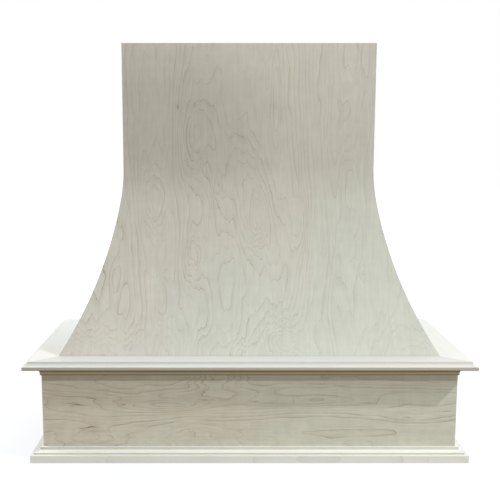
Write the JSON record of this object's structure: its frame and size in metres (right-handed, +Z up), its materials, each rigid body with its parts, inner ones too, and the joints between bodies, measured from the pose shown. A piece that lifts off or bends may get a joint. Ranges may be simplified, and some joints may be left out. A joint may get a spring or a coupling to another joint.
{
  "type": "wooden range hood cover",
  "caption": "Flared wooden wall hood cover with a moulded ledge, straight apron, base moulding and open ribbed back for a ventilation insert.",
  "frame": {"origin": "under the middle of the overall box, at the level of the underside", "axes": "+Z up, +X to the right as seen from the front, +Y towards the wall"},
  "size_m": [0.9874, 0.5318, 0.9144],
  "materials": {
    "maple_veneer": "sanded, unfinished maple veneer",
    "solid_maple": "sanded, unfinished solid maple",
    "birch_plywood": "raw birch plywood with its plies showing at the edges",
    "poplar": "raw sawn poplar",
    "zinc_steel": "bright zinc plate"
  },
  "bodies": {
    "root": {"apron_front": "maple_veneer", "apron_left": "maple_veneer", "apron_right": "maple_veneer", "back_rail_lower": "birch_plywood", "back_rail_upper": "birch_plywood", "base_moulding_front": "solid_maple", "base_moulding_left": "solid_maple", "base_moulding_right": "solid_maple", "bed_moulding_front": "solid_maple", "bed_moulding_left": "solid_maple", "bed_moulding_right": "solid_maple", "block_screw_front_left_1": "zinc_steel", "block_screw_front_left_2": "zinc_steel", "block_screw_front_right_1": "zinc_steel", "block_screw_front_right_2": "zinc_steel", "block_screw_rear_left_1": "zinc_steel", "block_screw_rear_left_2": "zinc_steel", "block_screw_rear_right_1": "zinc_steel", "block_screw_rear_right_2": "zinc_steel", "corner_block_front_left": "poplar", "corner_block_front_right": "poplar", "corner_block_rear_left": "poplar", "corner_block_rear_right": "poplar", "front_rib_left": "birch_plywood", "front_rib_middle": "birch_plywood", "front_rib_right": "birch_plywood", "hanging_rail_lower": "birch_plywood", "hanging_rail_upper": "birch_plywood", "hip_rib_left": "birch_plywood", "hip_rib_right": "birch_plywood", "insert_cleat_back": "poplar", "insert_cleat_front": "poplar", "insert_cleat_left": "poplar", "insert_cleat_right": "poplar", "ledge_front": "solid_maple", "ledge_left": "solid_maple", "ledge_right": "solid_maple", "side_rib_left": "birch_plywood", "side_rib_right": "birch_plywood", "skin_front": "maple_veneer", "skin_left": "maple_veneer", "skin_right": "maple_veneer", "sole_front": "birch_plywood", "sole_left": "birch_plywood", "sole_right": "birch_plywood", "sole_screw_front_1": "zinc_steel", "sole_screw_front_2": "zinc_steel", "sole_screw_front_3": "zinc_steel", "sole_screw_left_1": "zinc_steel", "sole_screw_left_2": "zinc_steel", "sole_screw_right_1": "zinc_steel", "sole_screw_right_2": "zinc_steel", "top_rail_back": "birch_plywood", "top_rail_front": "birch_plywood", "top_rail_left": "birch_plywood", "top_rail_right": "birch_plywood", "wall_rib_left": "birch_plywood", "wall_rib_right": "birch_plywood"}
  },
  "joints": []
}
